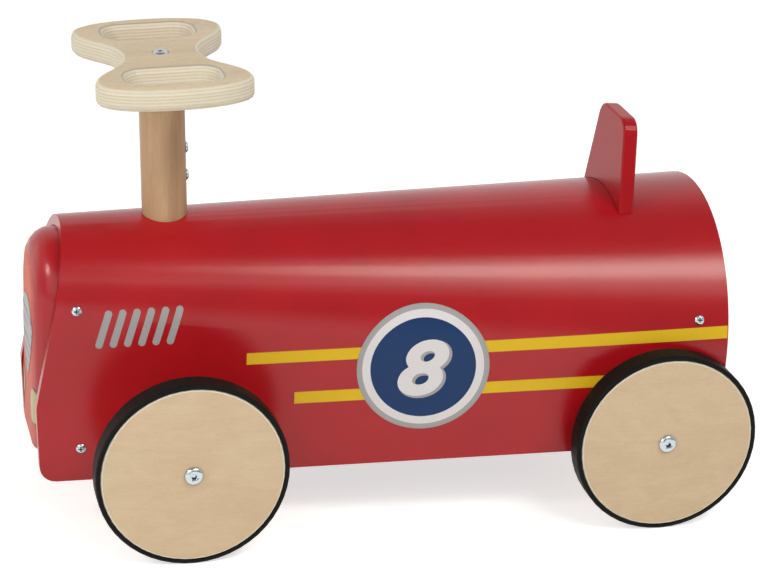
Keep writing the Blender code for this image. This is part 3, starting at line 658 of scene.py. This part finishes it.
class SideTrim:
    """The print on one side of the body shell."""

    def __init__(self, surface, side, word):
        self.surface = surface
        self.side = side
        self.word = word

    def lay(self, name, bm, paint, lift=PRINT_LIFT):
        laid("%s_%s" % (name, self.word), bm, self.surface, (-self.side, 0.0, 0.0), paint, lift)

    def stripe(self, name, start, top, bottom):
        bm = bmesh.new()
        square(bm)
        for vert in bm.verts:
            height = top if vert.co.y > 0.0 else bottom
            distance = start
            if vert.co.x > 0.0:
                distance = REAR_EDGE + REAR_EDGE_LEAN * (height - REAR_EDGE_FOOT) - STRIPE_SHY
            vert.co = side_point(distance, height + STRIPE_RISE * distance, self.side)
        sliced(bm, ALONG, WIDE_STRIP)
        sliced(bm, UP, NARROW_STRIP)
        self.lay("stripe_" + name, bm, YELLOW_INK)

    def vent(self, index):
        top = Vector(VENT_TOP) + Vector(VENT_STEP) * index
        low = Vector(VENT_FOOT) + Vector(VENT_STEP) * index
        end = (top - low).normalized() * (VENT_WIDTH / 2)
        bm = bmesh.new()
        bmesh.ops.create_circle(bm, cap_ends=True, segments=28, radius=VENT_WIDTH / 2)
        for vert in bm.verts:
            flat = Vector((vert.co.x, vert.co.y))
            spot = (top - end if flat.dot(end) > 0.0 else low + end) + flat
            vert.co = side_point(spot.x, spot.y, self.side)
        sliced(bm, UP, STRIP)
        self.lay("vent_%d" % (index + 1), bm, GREY_INK)

    def badge_point(self, across, up):
        """A point beside the body, at a reach from the badge's middle as a viewer sees it."""
        return side_point(BADGE_MIDDLE[0] + across * self.side, BADGE_MIDDLE[1] + up, self.side)

    def badge_layer(self, name, outer, inner, paint):
        """A flat ring or disc of the badge."""
        bm = bmesh.new()
        disc_shape(bm, outer, inner)
        for vert in bm.verts:
            vert.co = self.badge_point(vert.co.x, vert.co.y)
        sliced(bm, UP, STRIP)
        sliced(bm, ALONG, BADGE_STRIP)
        self.lay("badge_" + name, bm, paint, BADGE_LIFT)

    def number(self, name, paint, lift, weight, shift):
        bm = number_shape(weight)
        for vert in bm.verts:
            vert.co = self.badge_point(vert.co.x * NUMBER_STRETCH + shift[0], vert.co.y + shift[1])
        sliced(bm, UP, STRIP)
        self.lay("badge_number_" + name, bm, paint, lift)


def disc_shape(bm, radius, inner=0.0, segments=96):
    """A flat disc, or a flat ring where it has an inner radius."""
    if inner:
        outer = bmesh.ops.create_circle(bm, cap_ends=False, segments=segments, radius=radius)["verts"]
        inside = bmesh.ops.create_circle(bm, cap_ends=False, segments=segments, radius=inner)["verts"]
        edges = {edge for vert in outer + inside for edge in vert.link_edges}
        bmesh.ops.bridge_loops(bm, edges=list(edges))
    else:
        bmesh.ops.create_circle(bm, cap_ends=True, segments=segments, radius=radius)


def number_shape(weight):
    """The number 8 as a flat mesh about its own middle."""
    curve = bpy.data.curves.new("number_text", "FONT")
    curve.body = "8"
    curve.size = NUMBER_SIZE
    curve.offset = weight
    curve.shear = NUMBER_SLANT
    curve.align_x = "CENTER"
    curve.align_y = "CENTER"
    curve.resolution_u = 8
    drawn = bpy.data.objects.new("number_text", curve)
    bpy.context.scene.collection.objects.link(drawn)
    graph = bpy.context.evaluated_depsgraph_get()
    mesh = bpy.data.meshes.new_from_object(drawn.evaluated_get(graph))
    bm = bmesh.new()
    bm.from_mesh(mesh)
    bpy.data.objects.remove(drawn, do_unlink=True)
    bpy.data.curves.remove(curve)
    bpy.data.meshes.remove(mesh)
    bmesh.ops.remove_doubles(bm, verts=bm.verts, dist=SAME_POINT)
    low = Vector([min(vert.co[axis] for vert in bm.verts) for axis in range(3)])
    high = Vector([max(vert.co[axis] for vert in bm.verts) for axis in range(3)])
    bmesh.ops.translate(bm, verts=bm.verts, vec=-(low + high) / 2)
    return bm


def side_trim():
    surface = surface_of("body_shell")
    ring = BADGE_RADIUS - BADGE_RIM
    field = ring - BADGE_RING
    for side, word in SIDES:
        trim = SideTrim(surface, side, word)
        for stripe in STRIPES:
            trim.stripe(*stripe)
        for index in range(VENTS):
            trim.vent(index)
        trim.badge_layer("rim", BADGE_RADIUS, ring, GREY_INK)
        trim.badge_layer("ring", ring, field, WHITE_INK)
        trim.badge_layer("field", field, 0.0, NAVY_INK)
        trim.number("shade", GREY_INK, SHADE_LIFT, SHADE_WEIGHT, SHADE_SHIFT)
        trim.number("face", WHITE_INK, NUMBER_LIFT, NUMBER_WEIGHT, (0.0, 0.0))


def nose_point(across, height):
    """A point ahead of the nose, beside its middle and above the axle."""
    return Vector((across, FRONT_AXLE.y - AWAY, FRONT_AXLE.z + height))


def grille_reach(height):
    """Half the grille's width: full shoulders, a flat arch above them and a soft point below."""
    if height > GRILLE_WIDEST:
        rise = (height - GRILLE_WIDEST) / (GRILLE_TOP - GRILLE_WIDEST)
        return GRILLE_HALF * math.sqrt(max(0.0, 1.0 - rise * rise))
    drop = (GRILLE_WIDEST - height) / (GRILLE_WIDEST - GRILLE_FOOT)
    return GRILLE_HALF * max(0.0, 1.0 - drop ** 1.55) ** 0.95


def grille_shape(inset):
    """The grille's outline, drawn in from its edge by an inset."""
    bm = bmesh.new()
    bmesh.ops.create_circle(bm, cap_ends=True, segments=72, radius=1.0)
    squeeze = 1.0 - inset / GRILLE_HALF
    for vert in bm.verts:
        x, z = vert.co.x, vert.co.y
        tall = GRILLE_TOP - GRILLE_WIDEST if z > 0.0 else GRILLE_WIDEST - GRILLE_FOOT
        reach = math.copysign(grille_reach(GRILLE_WIDEST + tall * z), x) if abs(x) > 0.0001 else 0.0
        vert.co = nose_point(squeeze * reach, GRILLE_WIDEST + (tall - inset) * z)
    return bm


def headlamp_shape(side, inset):
    bm = bmesh.new()
    disc_shape(bm, 1.0, segments=48)
    for vert in bm.verts:
        across = side * HEADLAMP_MIDDLE[0] + vert.co.x * (HEADLAMP_REACH[0] - inset)
        vert.co = nose_point(across, HEADLAMP_MIDDLE[1] + vert.co.y * (HEADLAMP_REACH[1] - inset))
    sliced(bm, ACROSS, HEADLAMP_STRIP)
    return bm


def nose_trim():
    surface = surface_of("nose_block")
    way = (0.0, 1.0, 0.0)
    laid("grille_outline", grille_shape(0.0), surface, way, DARK_GREY_INK)
    laid("grille_field", grille_shape(GRILLE_BORDER), surface, way, GREY_INK, GRILLE_LIFT)
    for index in range(SLATS):
        height = SLAT_FOOT + SLAT_STEP * index
        reach = grille_reach(height) - SLAT_SHY
        bm = bmesh.new()
        square(bm)
        for vert in bm.verts:
            vert.co = nose_point(vert.co.x * 2.0 * reach, height + vert.co.y * SLAT_THICKNESS)
        laid("grille_slat_%d" % (index + 1), bm, surface, way, DARK_GREY_INK, SLAT_LIFT)
    for side, word in SIDES:
        rim, glass = headlamp_shape(side, 0.0), headlamp_shape(side, HEADLAMP_RIM)
        laid("headlamp_rim_" + word, rim, surface, way, DARK_GREY_INK, HEADLAMP_LIFTS[0])
        laid("headlamp_glass_" + word, glass, surface, way, LAMP_INK, HEADLAMP_LIFTS[1])


def direction(azimuth, elevation):
    """The way from the car to a viewer; 0 is ahead of the car and 90 on its left."""
    turn = math.radians(azimuth)
    rise = math.radians(elevation)
    return Vector((math.sin(turn) * math.cos(rise), -math.cos(turn) * math.cos(rise), math.sin(rise)))


def in_view(tree):
    """1 where the camera sees the room itself, in a mirror or through a clear piece, else 0."""
    seen = add(tree, "LightPath").outputs
    mirrored = worked(tree, "MAXIMUM", seen["Is Glossy Ray"], seen["Is Transmission Ray"])
    return worked(tree, "MAXIMUM", seen["Is Camera Ray"], mirrored)


def floor():
    """A pale floor that looks white to the camera and still keeps the car's shadow."""
    bm = bmesh.new()
    bmesh.ops.create_grid(bm, x_segments=1, y_segments=1, size=FLOOR_SIZE)
    mesh = bpy.data.meshes.new("floor")
    bm.to_mesh(mesh)
    bm.free()
    made = bpy.data.objects.new("floor", mesh)
    bpy.context.scene.collection.objects.link(made)
    paint, tree, shader = new_material("floor_white", 0.9, shine=0.0)
    shader.inputs["Base Color"].default_value = (FLOOR_GREY, FLOOR_GREY, FLOOR_GREY, 1.0)
    lift = span(tree, in_view(tree), 0.0, FLOOR_GLOW)
    glow = add(tree, "Emission", {"Color": (*WHITE, 1.0), "Strength": lift})
    both = add(tree, "AddShader", {0: shader.outputs[0], 1: glow.outputs[0]})
    tree.links.new(both.outputs[0], tree.nodes["Material Output"].inputs["Surface"])
    mesh.materials.append(paint)


def look_from(made, azimuth, elevation):
    """Points a lamp or the camera back along the way to a viewer; gives that way."""
    back = direction(azimuth, elevation)
    made.rotation_mode = "QUATERNION"
    made.rotation_quaternion = (-back).to_track_quat("-Z", "Y")
    bpy.context.scene.collection.objects.link(made)
    return back


def soft_box(name, target, azimuth, elevation, distance, width, height, power):
    """A rectangular lamp that looks at the target from a direction."""
    light = bpy.data.lights.new(name, "AREA")
    light.color = LAMP_WARMTH
    light.shape = "RECTANGLE"
    light.size = width
    light.size_y = height
    light.energy = power
    made = bpy.data.objects.new(name, light)
    made.location = Vector(target) + look_from(made, azimuth, elevation) * distance


def room():
    """A pale room: brighter behind the car than on the camera's side, and white where it is seen."""
    world = bpy.data.worlds.new("studio")
    bpy.context.scene.world = world
    world.use_nodes = True
    tree = world.node_tree
    sky = tree.nodes["Background"]
    way = add(tree, "SeparateXYZ", {"Vector": add(tree, "TexCoord").outputs["Generated"]}).outputs
    behind = span(tree, way["X"], 0.0, 1.0, 0.15, -0.35)
    below = span(tree, way["Z"], 0.0, 1.0, 0.92, 0.68)
    lit = span(tree, worked(tree, "MULTIPLY", behind, below), ROOM_DARK, ROOM_BRIGHT)
    high = span(tree, way["Z"], 1.0, 0.30, 0.70, 0.91)
    ahead = span(tree, way["X"], 1.0, 0.40, 0.05, 0.50)
    more = worked(tree, "SUBTRACT", worked(tree, "MINIMUM", high, ahead), lit)
    sky.inputs["Color"].default_value = (*WHITE, 1.0)
    tree.links.new(worked(tree, "MULTIPLY_ADD", more, in_view(tree), lit), sky.inputs["Strength"])


def camera():
    data = bpy.data.cameras.new("camera")
    data.lens = CAMERA_LENS
    data.sensor_width = 36.0
    data.clip_start = 0.05
    data.clip_end = 60.0
    made = bpy.data.objects.new("camera", data)
    made.location = CAMERA_PLACE
    look_from(made, CAMERA_AZIMUTH, CAMERA_ELEVATION)
    roll = Quaternion((0.0, 0.0, 1.0), math.radians(CAMERA_ROLL))
    made.rotation_quaternion = made.rotation_quaternion @ roll
    bpy.context.scene.camera = made


finish_nodes()
eased("body_shell", SHELL_EASING, SHELL_SHORTEST)
eased("front_axle_beam", BEAM_EASING, BEAM_SHORTEST)
smooth_screws()
smooth_nose()
side_trim()
nose_trim()
floor()
room()
for box in SOFT_BOXES:
    soft_box(*box)
camera()
bpy.context.scene.view_settings.view_transform = "Standard"
